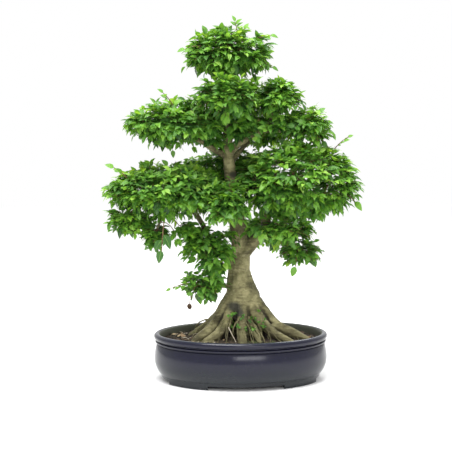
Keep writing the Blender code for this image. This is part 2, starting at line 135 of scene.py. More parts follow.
def pot_profile():
    """From the underside's edge up the outside, over the lip and down the inside, as (inset, height)."""
    base = BASE_INSET + BASE_BAND_STEP
    groove = NECK_INSET + GROOVE_DEPTH
    profile = [(base, FOOT_HEIGHT), (base, belly_bottom)]
    for step in range(BELLY_STEPS + 1):
        height = belly_bottom + (belly_top - belly_bottom) * step / BELLY_STEPS
        profile.append((belly_inset(height), height))
    for inset, shares in ((groove, (0.15, 0.28)), (BAND_INSET, (0.42, 0.72)), (groove, (0.86, 0.99))):
        profile += [(inset, belly_top + share * BAND_HEIGHT) for share in shares]
    for degrees in range(-60, 200, 20):
        turn = math.radians(degrees)
        across = LIP_WIDTH / 2 * (1 - math.cos(turn))
        profile.append((across, pot_height - LIP_HEIGHT / 2 * (1 - math.sin(turn))))
    return profile + inner_wall()


def select_only(*objects):
    """Makes these the only selected objects, and the first the active one."""
    bpy.ops.object.select_all(action="DESELECT")
    for each in objects:
        each.select_set(True)
    bpy.context.view_layer.objects.active = objects[0]


def follow_profile(profile, start, half_x, half_y, middle):
    """Extrudes the selected oval rim along a profile of (inset, height)."""
    last_inset, last_height = start
    for inset, height in profile:
        bpy.ops.mesh.extrude_edges_move(TRANSFORM_OT_translate={"value": (0, 0, height - last_height)})
        scale = ((half_x - inset) / (half_x - last_inset), (half_y - inset) / (half_y - last_inset), 1)
        bpy.ops.transform.resize(value=scale, center_override=(middle.x, middle.y, height))
        last_inset, last_height = inset, height


def apply_all(piece):
    """Applies every modifier of a piece."""
    select_only(piece)
    for name in [made.name for made in piece.modifiers]:
        bpy.ops.object.modifier_apply(modifier=name)


def settle(piece):
    """Puts a finished piece's place into its mesh."""
    select_only(piece)
    bpy.ops.object.transform_apply(location=True, rotation=True, scale=True)


def oval_disc(name, inset, height, segments=POT_SEGMENTS):
    """An oval disc inside the pot's outline, left in edit mode with its rim selected."""
    place = (pot_middle.x, pot_middle.y, height)
    bpy.ops.mesh.primitive_circle_add(vertices=segments, radius=1, fill_type="NGON", location=place)
    made = bpy.context.object
    made.name = name
    bpy.ops.object.mode_set(mode="EDIT")
    size = (pot_length / 2 - inset, pot_width / 2 - inset, 1)
    bpy.ops.transform.resize(value=size, center_override=place)
    return made


def pick(piece, kind, wanted):
    """Selects those faces or points of a piece in edit mode that are wanted."""
    bpy.ops.mesh.select_all(action="DESELECT")
    cage = bmesh.from_edit_mesh(piece.data)
    for item in getattr(cage, kind):
        item.select = wanted(item)
    if kind == "verts":
        cage.select_flush(True)
    bmesh.update_edit_mesh(piece.data)


def on_foot_ring(face):
    """Whether a face of the pot is part of the flat ring that the feet stand on."""
    return face.normal.z < -0.9 and abs(face.calc_center_median().z) < 0.0005 and len(face.verts) < 8


def over_a_foot(face):
    """Whether a face of the ring is where a foot is drawn down."""
    out = face.calc_center_median() + pot.location - pot_middle
    return on_foot_ring(face) and abs(out.x) > FOOT_GAP_FRONT / 2 and abs(out.y) > FOOT_GAP_SIDE / 2


foot_start = (BASE_INSET + BASE_BAND_STEP + FOOT_WIDTH, FOOT_HEIGHT)
pot = oval_disc("glazed_pot", *foot_start)
bpy.ops.mesh.select_mode(type="EDGE")
follow_profile(pot_profile(), foot_start, pot_length / 2, pot_width / 2, pot_middle)
bpy.ops.mesh.edge_face_add()
bpy.ops.mesh.select_all(action="SELECT")
bpy.ops.mesh.normals_make_consistent(inside=False)

# The feet are drawn down from the foot ring, which is first cut where the gaps between them begin.
bpy.ops.mesh.select_mode(type="FACE")
for direction, place in (((1, 0, 0), FOOT_GAP_FRONT / 2), ((0, 1, 0), FOOT_GAP_SIDE / 2)):
    for side in (-1, 1):
        pick(pot, "faces", on_foot_ring)
        middle = pot_middle + Vector(direction) * side * place
        bpy.ops.mesh.bisect(plane_co=middle, plane_no=direction)
pick(pot, "faces", over_a_foot)
bpy.ops.mesh.extrude_region_move(TRANSFORM_OT_translate={"value": (0, 0, -FOOT_HEIGHT)})
bpy.ops.object.mode_set(mode="OBJECT")

# The drainage holes, and the edges that the glaze has rounded.
for side in (-1, 1):
    place = (pot_middle.x + side * DRAIN_SPACING / 2, pot_middle.y, floor_top)
    bpy.ops.mesh.primitive_cylinder_add(vertices=40, radius=DRAIN_RADIUS, depth=3 * POT_FLOOR, location=place)
    drill = bpy.context.object
    hole = pot.modifiers.new("drain", "BOOLEAN")
    hole.object = drill
    apply_all(pot)
    bpy.data.objects.remove(drill)
edge = pot.modifiers.new("rounded_edges", "BEVEL")
edge.width = EDGE_ROUNDING
edge.segments = 2
edge.angle_limit = math.radians(35)
apply_all(pot)
bpy.ops.object.shade_smooth_by_angle(angle=math.radians(40))
settle(pot)


def new_material(name):
    """A material and its node tree."""
    made = bpy.data.materials.new(name)
    made.use_nodes = True
    return made, made.node_tree


def give(tree, place, value):
    """Links a socket to an input, or sets the input to a constant."""
    if isinstance(value, bpy.types.NodeSocket):
        tree.links.new(value, place)
    else:
        place.default_value = value


def feed(tree, name, value):
    """Gives a socket or a constant to this input of the material's main shader."""
    give(tree, tree.nodes["Principled BSDF"].inputs[name], value)


def dress(piece, material):
    """Gives a piece this material alone."""
    piece.data.materials.clear()
    piece.data.materials.append(material)


def noise_node(tree, vector, scale, detail=4.0, roughness=0.55, distortion=0.0):
    """A noise texture on these coordinates."""
    made = tree.nodes.new("ShaderNodeTexNoise")
    made.inputs["Scale"].default_value = scale
    made.inputs["Detail"].default_value = detail
    made.inputs["Roughness"].default_value = roughness
    made.inputs["Distortion"].default_value = distortion
    tree.links.new(vector, made.inputs["Vector"])
    return made.outputs["Fac"]


def ramp_node(tree, factor, stops):
    """A colour ramp through (position, colour) stops."""
    made = tree.nodes.new("ShaderNodeValToRGB")
    while len(made.color_ramp.elements) < len(stops):
        made.color_ramp.elements.new(1.0)
    for element, (place, colour) in zip(made.color_ramp.elements, stops):
        element.position = place
        element.color = (*colour, 1.0)
    tree.links.new(factor, made.inputs["Fac"])
    return made.outputs["Color"]


def range_node(tree, value, from_low, from_high, to_low=0.0, to_high=1.0):
    """Maps a value's range smoothly onto another and holds it there."""
    made = tree.nodes.new("ShaderNodeMapRange")
    made.interpolation_type = "SMOOTHSTEP"
    numbers = {"From Min": from_low, "From Max": from_high, "To Min": to_low, "To Max": to_high}
    for name, number in numbers.items():
        made.inputs[name].default_value = number
    tree.links.new(value, made.inputs["Value"])
    return made.outputs["Result"]


def mix_node(tree, factor, one, other, blend="MIX"):
    """Mixes two colours, each a socket or three numbers."""
    made = tree.nodes.new("ShaderNodeMix")
    made.data_type = "RGBA"
    made.blend_type = blend
    for place, value in ((0, factor), (6, one), (7, other)):
        give(tree, made.inputs[place], (*value, 1.0) if isinstance(value, tuple) else value)
    return made.outputs[2]


def math_node(tree, operation, one, other=0.0):
    """One sum on two values, each a socket or a number."""
    made = tree.nodes.new("ShaderNodeMath")
    made.operation = operation
    give(tree, made.inputs[0], one)
    give(tree, made.inputs[1], other)
    return made.outputs[0]


def bump_node(tree, height, strength, distance):
    """A bump from a height."""
    made = tree.nodes.new("ShaderNodeBump")
    made.inputs["Strength"].default_value = strength
    made.inputs["Distance"].default_value = distance
    tree.links.new(height, made.inputs["Height"])
    return made.outputs["Normal"]


def object_places(tree):
    """The piece's own coordinates."""
    return tree.nodes.new("ShaderNodeTexCoord").outputs["Object"]


def axes_of(tree, vector):
    """A vector's x, y and z."""
    split = tree.nodes.new("ShaderNodeSeparateXYZ")
    tree.links.new(vector, split.inputs[0])
    return split.outputs


def tinted(tree, colour, layers):
    """Lays tints over a colour, each (value, range's low, range's high, most, tint)."""
    for value, low, high, most, tint in layers:
        colour = mix_node(tree, range_node(tree, value, low, high, 0.0, most), colour, tint)
    return colour


INDIGO = (0.0030, 0.0034, 0.0150)
SLATE = (0.0100, 0.0130, 0.0165)
BARE_RIM_AND_REFLECTION = (0.055, 0.062, 0.080)
DUST = (0.16, 0.15, 0.13)
LIMESCALE = (0.095, 0.100, 0.070)

glaze, tree = new_material("indigo_glaze")
places = object_places(tree)
x, y, z = axes_of(tree, places)
clouds = noise_node(tree, places, 9, 3)
specks = noise_node(tree, places, 420, 2)
height = math_node(tree, "ADD", z, math_node(tree, "MULTIPLY", clouds, 0.030))
out = math_node(tree, "ABSOLUTE", math_node(tree, "SUBTRACT", x, pot_middle.x))
# Towards the bottom the glaze is tinted slate as a painted reflection of the pale floor; it is tinted slate
# towards both ends too.
colour = tinted(tree, INDIGO, (
    (height, 0.080, 0.028, 1.0, SLATE),
    (out, 0.130, 0.205, 0.45, SLATE),
    # The rim's top is paler where the glaze breaks thin over the edge, and also as a painted reflection of
    # the light.
    (z, pot_height - 0.0035, pot_height, 0.5, BARE_RIM_AND_REFLECTION),
    (specks, 0.62, 0.74, 0.10, DUST),
))
across = math_node(tree, "DIVIDE", out, pot_length / 2)
deep = math_node(tree, "DIVIDE", math_node(tree, "SUBTRACT", y, pot_middle.y), pot_width / 2)
squares = [math_node(tree, "MULTIPLY", share, share) for share in (across, deep)]
inner = range_node(tree, math_node(tree, "ADD", *squares), 0.900, 0.870)
above_soil = range_node(tree, z, soil_edge - 0.008, soil_edge - 0.006)
inner = math_node(tree, "MULTIPLY", inner, above_soil)
colour = mix_node(tree, math_node(tree, "MULTIPLY", inner, 0.85), colour, LIMESCALE)
feed(tree, "Base Color", colour)
gloss = range_node(tree, clouds, 0.3, 0.7, 0.13, 0.24)
dull = math_node(tree, "MULTIPLY", inner, 0.4)
feed(tree, "Roughness", math_node(tree, "ADD", gloss, dull))
waves = noise_node(tree, places, 38, 2)
feed(tree, "Normal", bump_node(tree, waves, 0.25, 0.0012))
feed(tree, "IOR", 1.42)
dress(pot, glaze)
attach(pot, "root")
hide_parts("pot")


# The drainage screens
# Two squares of black plastic mesh, cut from a sheet and laid over the pot's holes before it was filled.
plastic, tree = new_material("black_plastic")
grain = noise_node(tree, object_places(tree), 900, 2)
colour = mix_node(tree, grain, (0.010, 0.010, 0.010), (0.030, 0.029, 0.027))
feed(tree, "Base Color", colour)
feed(tree, "Roughness", range_node(tree, grain, 0.3, 0.7, 0.45, 0.65))
for name in ("drainage_screen_left", "drainage_screen_right"):
    dress(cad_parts[name], plastic)


# The soil
# A dark mix of loam and fine grit, mounded up to the trunk and settled by watering, which fills the pot
# down to its floor and screens. Small stones and crumbs of bark lie loose on it.
SOIL_MOUND = 0.010
SOIL_CROWN = 0.020
SOIL_RINGS = 34
SOIL_GAP = 0.0004
GRIT_RELIEF = 0.0030
STONES = 2600
STONE_SIZE = 0.0030

wall = inner_wall(SOIL_GAP)[::-1]
soil = oval_disc("soil_body", *wall[0], segments=120)
bpy.ops.mesh.select_mode(type="EDGE")
follow_profile(wall[1:], wall[0], pot_length / 2, pot_width / 2, pot_middle)
mound = []
edge_inset = wall[-1][0]
crown_inset = pot_width / 2 - SOIL_CROWN
for step in range(1, SOIL_RINGS + 1):
    share = step / SOIL_RINGS
    height = soil_edge + SOIL_MOUND * math.sin(share * math.pi / 2)
    mound.append((edge_inset + (crown_inset - edge_inset) * share, height))
follow_profile(mound, wall[-1], pot_length / 2, pot_width / 2, pot_middle)
bpy.ops.mesh.edge_face_add()
bpy.ops.mesh.select_all(action="SELECT")
bpy.ops.mesh.normals_make_consistent(inside=False)
bpy.ops.object.mode_set(mode="OBJECT")
finer = soil.modifiers.new("finer", "SUBSURF")
finer.subdivision_type = "SIMPLE"
finer.levels = 2
apply_all(soil)
settle(soil)
for vert in soil.data.vertices:
    place = vert.co
    if place.z > soil_edge - 0.001:
        out = 2 * Vector(((place.x - pot_middle.x) / pot_length, (place.y - pot_middle.y) / pot_width))
        inside = min(1.0, max(0.0, (0.945 - out.length) / 0.05))
        lumps = noise.noise(place * 55) + noise.noise(place * 170) * 0.8 + noise.noise(place * 420) * 0.6
        vert.co.z += lumps * GRIT_RELIEF * (0.25 + 0.75 * inside)
soil.data.shade_smooth()

earth, tree = new_material("dark_soil")
places = object_places(tree)
coarse = noise_node(tree, places, 60, 5, 0.7)
fine = noise_node(tree, places, 520, 4, 0.7)
LOAM = [(0.32, (0.012, 0.009, 0.006)), (0.52, (0.042, 0.030, 0.018)), (0.70, (0.095, 0.068, 0.040))]
colour = ramp_node(tree, coarse, LOAM)
colour = tinted(tree, colour, [(fine, 0.58, 0.72, 1.0, (0.170, 0.130, 0.085))])
feed(tree, "Base Color", colour)
feed(tree, "Roughness", 0.95)
feed(tree, "Normal", bump_node(tree, fine, 0.9, 0.003))
dress(soil, earth)
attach(soil, "root")
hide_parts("soil")

TONES = 8
SHADES = 8
UP = np.array((0.0, 0.0, 1.0))


def points_of(data, what="co"):
    """A mesh's points as an array, or its directions there where what is normal."""
    found = np.empty(len(data.vertices) * 3, np.float32)
    data.vertices.foreach_get(what, found)
    return found.reshape(-1, 3)


def tree_of(data):
    """A search tree of a mesh's faces."""
    return BVHTree.FromPolygons(points_of(data).tolist(), [tuple(face.vertices) for face in data.polygons])


def pattern_of(piece, half_width):
    """What copies of a piece need: its points, its corners, where its faces start, and its map."""
    points = points_of(piece.data)
    corners = np.array([corner.vertex_index for corner in piece.data.loops])
    starts = np.array([face.loop_start for face in piece.data.polygons])
    low, high = points[:, 1].min(), points[:, 1].max()
    across = 0.5 + 0.45 * np.clip(points[:, 0] / half_width, -1, 1)
    along = 0.04 + 0.92 * (points[:, 1] - low) / (high - low)
    return points - (0, low, 0), corners, starts, np.stack((across, along), axis=1)


def unit(vectors):
    """Vectors at length one."""
    return vectors / np.maximum(np.linalg.norm(vectors, axis=-1, keepdims=True), 1e-9)


def copies(name, pattern, placed, material, shape=(1.0, 1.0)):
    """Copies of a shape as one piece. Each has a base, axis, face direction, length, curl, tone and shade."""
    points, corners, starts, own_map = pattern
    base, axis, facing, length, curl, tone, shade = (np.array(column) for column in zip(*placed))
    axis = unit(axis)
    facing = unit(facing - (facing * axis).sum(1, keepdims=True) * axis)
    side = np.cross(axis, facing)
    across, along, up = points.T
    places = base[:, None] + length[:, None, None] * (
        side[:, None] * across[None, :, None] * shape[0]
        + axis[:, None] * along[None, :, None] * shape[1]
        + facing[:, None] * up[None, :, None] * curl[:, None, None]
    )
    count = len(placed)
    data = bpy.data.meshes.new(name)
    data.vertices.add(count * len(points))
    data.vertices.foreach_set("co", places.astype(np.float32).ravel())
    all_corners = corners[None] + (np.arange(count) * len(points))[:, None]
    data.loops.add(all_corners.size)
    data.loops.foreach_set("vertex_index", all_corners.ravel().astype(np.int32))
    all_starts = starts[None] + (np.arange(count) * len(corners))[:, None]
    data.polygons.add(all_starts.size)
    data.polygons.foreach_set("loop_start", all_starts.ravel().astype(np.int32))
    data.update(calc_edges=True)
    cells = np.stack((np.clip(shade, 0, SHADES - 1), np.clip(tone, 0, TONES - 1)), axis=1).astype(int)
    spots = (cells[:, None] + own_map[corners][None]) / (SHADES, TONES)
    data.uv_layers.new(name="OFBake").uv.foreach_set("vector", spots.astype(np.float32).ravel())
    data.shade_smooth()
    made = put(name, data)
    dress(made, material)
    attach(made, "root")
    return made


def cell_nodes(tree):
    """For a material of copies: the tone from 0 to 1, a random value for each cell, and the place in it."""
    own_map = tree.nodes.new("ShaderNodeUVMap")
    own_map.uv_map = "OFBake"
    cells = tree.nodes.new("ShaderNodeVectorMath")
    cells.operation = "MULTIPLY"
    cells.inputs[1].default_value = (SHADES, TONES, 1)
    tree.links.new(own_map.outputs[0], cells.inputs[0])
    found = []
    for operation in ("FLOOR", "FRACTION"):
        part_of = tree.nodes.new("ShaderNodeVectorMath")
        part_of.operation = operation
        tree.links.new(cells.outputs[0], part_of.inputs[0])
        found.append((part_of.outputs[0], axes_of(tree, part_of.outputs[0])))
    chance = tree.nodes.new("ShaderNodeTexWhiteNoise")
    chance.noise_dimensions = "2D"
    tree.links.new(found[0][0], chance.inputs["Vector"])
    tone = math_node(tree, "DIVIDE", found[0][1][1], TONES - 1)
    return tone, chance.outputs[0], found[1][1], own_map.outputs[0]


bpy.ops.mesh.primitive_ico_sphere_add(subdivisions=1, radius=0.5, location=(0, 0, 0))
stone = bpy.context.object
bpy.ops.object.mode_set(mode="EDIT")
bpy.ops.mesh.select_all(action="SELECT")
bpy.ops.transform.resize(value=(0.8, 1.0, 0.6))
bpy.ops.object.mode_set(mode="OBJECT")
for vert in stone.data.vertices:
    vert.co *= 1 + 0.5 * noise.noise(vert.co * 3.1)
stone_pattern = pattern_of(stone, 0.5)
bpy.data.objects.remove(stone)

grit, tree = new_material("grit_and_crumbs")
tone, _, _, own_map = cell_nodes(tree)
CRUMBS = [
    (0.00, (0.010, 0.007, 0.005)),
    (0.45, (0.040, 0.027, 0.016)),
    (0.75, (0.130, 0.085, 0.048)),
    (1.00, (0.330, 0.250, 0.160)),
]
colour = ramp_node(tree, tone, CRUMBS)
speckle = noise_node(tree, own_map, 130, 3)
colour = tinted(tree, colour, [(speckle, 0.50, 0.70, 0.5, (0.012, 0.009, 0.007))])
feed(tree, "Base Color", colour)
feed(tree, "Roughness", 0.9)
feed(tree, "Normal", bump_node(tree, speckle, 0.6, 0.0008))

soil_faces = tree_of(soil.data)


def on_soil(x, y):
    """The place on the soil's surface above x and y."""
    return np.array(soil_faces.ray_cast(Vector((x, y, 1.0)), Vector((0, 0, -1)))[0])


def in_pot(turn, out):
    """The x and y at this turn about the pot's middle and this share of the way out to its wall."""
    x = pot_middle.x + out * math.cos(turn) * (pot_length / 2 - POT_WALL)
    return x, pot_middle.y + out * math.sin(turn) * (pot_width / 2 - POT_WALL)


draw = np.random.default_rng(11)
placed = []
for _ in range(STONES):
    turn = draw.uniform(0, 2 * math.pi)
    out = 0.925 * math.sqrt(draw.uniform(0.02, 1.0))
    spot = on_soil(*in_pot(turn, out))
    size = STONE_SIZE * draw.uniform(0.4, 1.5)
    tone = int(min(7.9, abs(draw.normal()) * 3.0))
    axis = draw.normal(size=3) * (1, 1, 0.3)
    facing = UP + draw.normal(size=3) * 0.3
    placed.append((spot - unit(axis) * size / 2, axis, facing, size, 1.0, tone, draw.integers(SHADES)))
loose_grit = copies("loose_grit", stone_pattern, placed, grit)


# The wood
# The trunk, the roots that have lifted out of the soil and the branches grew as one piece, under thin
# grey-brown bark that is wrinkled across the trunk and fluted above the roots.
VOXEL = 0.0021
GROWN_OVER = 0.0006
FLUTE_DEPTH = 0.0042
LUMP_DEPTH = 0.0017
WRINKLE_DEPTH = 0.0010
PORE_DEPTH = 0.00035
HOLLOW_DEPTH = 0.0011
SUNK_DEPTH = 0.0065
EASING_ROUNDS = 30
WOOD_NODES = ["trunk"] + sorted(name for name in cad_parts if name.startswith("branch_"))
# Dark marks on the bark, as (x, z, half width, half height): a damp stain and old knots.
MARKS = (
    (0.0010, 0.172, 0.016, 0.012),
    (0.0120, 0.158, 0.010, 0.014),
    (0.0850, 0.352, 0.010, 0.010),
    (0.0640, 0.386, 0.009, 0.008),
    (0.0010, 0.470, 0.010, 0.008),
)

limbs = []
for name in WOOD_NODES:
    limb = put("limb_" + name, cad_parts[name].data.copy())
    select_only(limb)
    bpy.ops.object.mode_set(mode="EDIT")
    bpy.ops.mesh.select_all(action="SELECT")
    bpy.ops.mesh.remove_doubles(threshold=0.00001)
    bpy.ops.object.mode_set(mode="OBJECT")
    swell = limb.modifiers.new("swell", "DISPLACE")
    swell.strength = GROWN_OVER
    swell.mid_level = 0.0
    apply_all(limb)
    limbs.append(limb)
select_only(*limbs)
bpy.ops.object.join()
wood = bpy.context.object
wood.name = "wood"
wood.data.name = "wood"
grown = wood.modifiers.new("grown_together", "REMESH")
grown.mode = "VOXEL"
grown.voxel_size = VOXEL
healed = wood.modifiers.new("healed", "SMOOTH")
healed.factor = 0.5
healed.iterations = 5
apply_all(wood)


def eased(places, edges, rounds):
    """Points drawn again and again to the middle of their neighbours."""
    ends, others = edges.ravel(), edges[:, ::-1].ravel()
    count = np.bincount(ends, minlength=len(places))[:, None]
    for _ in range(rounds):
        sums = [np.bincount(ends, weights=places[others, axis], minlength=len(places)) for axis in range(3)]
        places = np.stack(sums, axis=1) / count
    return places


trunk_low, trunk_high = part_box("trunk")
soil_top = soil_edge + SOIL_MOUND
before = points_of(wood.data)
after = before.copy()
for number, (place, normal) in enumerate(zip(before, points_of(wood.data, "normal"))):
    spot = Vector(place)
    above = spot.z - soil_top
    stout = max(0.15, min(1.0, 1.25 - above / 0.42))
    turn = math.atan2(spot.y - pot_middle.y, spot.x - pot_middle.x)
    near_roots = max(0.35, min(1.0, 1.3 - above / 0.09))
    flute = near_roots * noise.noise(Vector((math.cos(turn) * 4.0, math.sin(turn) * 4.0, above * 6)))
    lumps = noise.noise(spot * 26) + 0.5 * noise.noise(spot * 60)
    wrinkle = noise.noise(Vector((spot.x * 30, spot.y * 30, spot.z * 170)))
    rough = noise.noise(spot * 190)
    relief = stout * (FLUTE_DEPTH * flute + LUMP_DEPTH * lumps + WRINKLE_DEPTH * wrinkle) + PORE_DEPTH * rough
    after[number] = place + normal * relief
wood.data.vertices.foreach_set("co", after.ravel())
wood.data.update()
wood.data.shade_smooth()

# What lies hollow between the roots is sunk deeper, and it and the grooves of the trunk are painted dark
# as painted shade; damp marks darken the bark. Both are kept with the points.
edges = np.array([edge.vertices for edge in wood.data.edges])
hollow_and_shade = ((eased(after.astype(float), edges, EASING_ROUNDS) - after) * points_of(wood.data, "normal")).sum(1)
near_soil = np.clip(1.7 - (after[:, 2] - soil_top) / 0.055, 0, 1)
hollow_and_shade = np.clip(hollow_and_shade / HOLLOW_DEPTH, 0, 1) * np.maximum(near_soil, 0.2)
after -= points_of(wood.data, "normal") * (SUNK_DEPTH * hollow_and_shade * near_soil)[:, None]
wood.data.vertices.foreach_set("co", after.ravel())
wood.data.update()
marks = np.zeros(len(after))
front = after[:, 1] < (trunk_low.y + trunk_high.y) / 2 + 0.02
for x, z, half_width, half_height in MARKS:
    reach = ((after[:, 0] - x) / half_width) ** 2 + ((after[:, 2] - z) / half_height) ** 2
    marks = np.maximum(marks, np.exp(-(reach**1.5)) * front)
for name, values in (("hollow_and_shade", hollow_and_shade), ("mark", marks)):
    kept = wood.data.attributes.new(name, "FLOAT", "POINT")
    kept.data.foreach_set("value", values.astype(np.float32))


def attribute_node(tree, name):
    """A value kept with the piece's points."""
    made = tree.nodes.new("ShaderNodeAttribute")
    made.attribute_name = name
    return made.outputs["Fac"]


bark, tree = new_material("grey_brown_bark")
places = object_places(tree)
stretched = tree.nodes.new("ShaderNodeMapping")
stretched.inputs["Scale"].default_value = (1.0, 1.0, 5.5)
tree.links.new(places, stretched.inputs["Vector"])
patches = noise_node(tree, places, 22, 5, 0.65)
streaks = noise_node(tree, stretched.outputs[0], 48, 6, 0.68, 0.5)
pores = noise_node(tree, places, 300, 4, 0.6)
OLD_BARK = [(0.38, (0.070, 0.062, 0.026)), (0.50, (0.175, 0.160, 0.070)), (0.60, (0.300, 0.275, 0.135))]
colour = tinted(tree, ramp_node(tree, patches, OLD_BARK), (
    (streaks, 0.47, 0.36, 0.55, (0.060, 0.050, 0.024)),
    (streaks, 0.54, 0.66, 0.50, (0.390, 0.355, 0.200)),
    (pores, 0.58, 0.72, 0.45, (0.040, 0.034, 0.018)),
    (axes_of(tree, places)[2], soil_top + 0.050, soil_top, 0.30, (0.070, 0.060, 0.030)),
    # Painted shade, darkest in the hollows between the roots.
    (attribute_node(tree, "hollow_and_shade"), 0.08, 0.80, 0.92, (0.020, 0.015, 0.008)),
    (attribute_node(tree, "mark"), 0.10, 0.90, 0.88, (0.026, 0.026, 0.020)),
))
feed(tree, "Base Color", colour)
feed(tree, "Roughness", 0.85)
relief = math_node(tree, "ADD", streaks, math_node(tree, "MULTIPLY", pores, 0.35))
feed(tree, "Normal", bump_node(tree, relief, 0.9, 0.0030))
dress(wood, bark)
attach(wood, "root")
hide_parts(*WOOD_NODES)
wood_faces = tree_of(wood.data)
wood_spots = points_of(wood.data)


# The thin roots
# A tangle of young roots that grew down from the swollen base into the soil, between the old ones.
THIN_ROOTS = 96


def tubes(name, stems, material, resolution=0):
    """Thin round stems, each a list of (point, radius), as one piece from a curve with a spline for each."""
    curve = bpy.data.curves.new(name, "CURVE")
    curve.dimensions = "3D"
    curve.bevel_depth = 1.0
    curve.bevel_resolution = resolution
    curve.use_fill_caps = True
    for stem in stems:
        spline = curve.splines.new("POLY")
        spline.points.add(len(stem) - 1)
        for point, (place, radius) in zip(spline.points, stem):
            point.co = (*place, 1.0)
            point.radius = radius
    made = put(name, curve)
    select_only(made)
    bpy.ops.object.convert(target="MESH")
    made.data.shade_smooth()
    dress(made, material)
    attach(made, "root")
    return made


def bend(start, end, lift, steps=4):
    """Points from start to end on a curve that is lifted in the middle."""
    share = np.linspace(0, 1, steps)[:, None]
    length = np.linalg.norm(end - start)
    return start + (end - start) * share + np.array(lift) * length * 4 * share * (1 - share)


def stem(line, radius, taper=0.0):
    """A stem along a line, which loses this share of its radius from each point to the next."""
    return [(place, radius * (1 - taper * step)) for step, place in enumerate(line)]


draw = np.random.default_rng(23)
stems = []
for number in range(THIN_ROOTS):
    turn = 2 * math.pi * (number + draw.uniform(-0.4, 0.4)) / THIN_ROOTS
    way = np.array((math.cos(turn), math.sin(turn), 0.0))
    centre = np.array((pot_middle.x - 0.004, pot_middle.y + 0.006, 0.0))
    height = soil_top + draw.uniform(0.018, 0.052)
    start = centre + way * 0.15 + UP * height
    hit = wood_faces.ray_cast(Vector(start), Vector(-way))[0]
    start = np.array(hit) - way * 0.001 if hit else start
    reach = np.linalg.norm((start - centre)[:2])
    end = on_soil(*(centre + way * (reach + draw.uniform(0.006, 0.046)))[:2]) - UP * 0.003
    end += np.cross(way, UP) * draw.normal() * 0.012
    line = bend(start, end, (draw.normal() * 0.06, draw.normal() * 0.06, draw.uniform(-0.10, 0.16)), 9)
    line[1:-1] += draw.normal(size=(7, 3)) * 0.0009
    thick = draw.choice((0.0007, 0.0011, 0.0018, 0.0028), p=(0.35, 0.35, 0.20, 0.10))
    stems.append([(place, thick * (1.15 - 0.06 * step)) for step, place in enumerate(line)])
thin_roots = tubes("thin_roots", stems, bark, 1)
for name in ("hollow_and_shade", "mark"):
    thin_roots.data.attributes.new(name, "FLOAT", "POINT")


# The leaf
# One ovate leaf with a drawn-out tip, folded up a little along its midrib and arched down to the tip, on
# a short stalk. All leaves of the tree are copies of it. It lies along +Y, one unit long, facing +Z.
LEAF_ROWS = ((0.0, 0.030), (0.10, 0.36), (0.30, 0.62), (0.56, 0.58), (0.80, 0.33), (1.0, 0.0))
STALK_LENGTH = 0.14
LEAF_FOLD = 0.20
LEAF_ARCH = 0.36

last_row = len(LEAF_ROWS) - 1
bpy.ops.mesh.primitive_grid_add(x_subdivisions=2, y_subdivisions=last_row, size=1, location=(0, 0.5, 0))
leaf = bpy.context.object
settle(leaf)
bpy.ops.object.mode_set(mode="EDIT")
bpy.ops.mesh.select_mode(type="VERT")
for row, (along, width) in enumerate(LEAF_ROWS):
    pick(leaf, "verts", lambda vert: abs(vert.co.y - row / last_row) < 0.001 and vert.co.z == 0.0)
    bpy.ops.transform.resize(value=(max(width, 0.001), 1, 1), center_override=(0, row / last_row, 0))
    drop = 0.0001 + LEAF_ARCH * along * along
    bpy.ops.transform.translate(value=(0, along - row / last_row, -drop))
pick(leaf, "verts", lambda vert: vert.co.y < 0.0001)
bpy.ops.mesh.extrude_edges_move(TRANSFORM_OT_translate={"value": (0, -STALK_LENGTH, -0.02)})
bpy.ops.mesh.select_all(action="SELECT")
bpy.ops.mesh.remove_doubles(threshold=0.004)
cage = bmesh.from_edit_mesh(leaf.data)
for vert in cage.verts:
    vert.co.z += LEAF_FOLD * abs(vert.co.x)
bmesh.update_edit_mesh(leaf.data)
bpy.ops.object.mode_set(mode="OBJECT")
leaf_pattern = pattern_of(leaf, LEAF_ROWS[2][1] / 2)
bpy.data.objects.remove(leaf)


# The foliage
# Each pad is a mass of fine red-brown twigs that fork from its branch, with side shoots at its surface
# that carry the leaves alternately: young and yellow-green at the tips, and large underneath. The leaves
# are painted lighter towards the top of the pad as painted light from above, and darker underneath as
# painted shade.
TUFT_SPACING = 0.031
TUFT_DEPTH = 0.036
TUFT_DEPTH_UNDER = 0.020
SHOOTS_PER_TUFT = 6
SHOOT_LENGTH = 0.034
LEAF_LENGTH = 0.0208
LEAVES_AT = (0.22, 0.42, 0.60, 0.78, 0.92, 1.0)
OVERHANG = 0.022
CLOSELY_TRIMMED = {
    "leaves_middle_back": 0.1,
    "leaves_crown": 0.7,
    "leaves_lower_left_hanging": 0.2,
    "leaves_low_right": 0.5,
    "leaves_lowest_left": 0.7,
}
HANGING_LEAF = 0.028
TWIG_RADIUS = 0.00055


def corners_of(name):
    """A CAD node's low and high corners."""
    return [np.array(corner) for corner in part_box(name)]


def surface_points(data, spacing, draw):
    """Points spread over a mesh at least this far apart, with its direction there."""
    data.calc_loop_triangles()
    places = points_of(data)
    corners = np.array([triangle.vertices for triangle in data.loop_triangles])
    a, b, c = (places[corners[:, number]] for number in range(3))
    cross = np.cross(b - a, c - a)
    areas = np.linalg.norm(cross, axis=1) / 2
    tries = int(areas.sum() / spacing**2 * 9)
    chosen = draw.choice(len(areas), size=tries, p=areas / areas.sum())
    one, two = draw.random((2, tries, 1))
    flip = one + two > 1
    one, two = np.where(flip, 1 - one, one), np.where(flip, 1 - two, two)
    found = a[chosen] + (b - a)[chosen] * one + (c - a)[chosen] * two
    ways = unit(cross)[chosen]
    kept = []
    for number, place in enumerate(found):
        if all(np.linalg.norm(place - found[other]) > spacing for other in kept):
            kept.append(number)
    return found[kept], ways[kept]


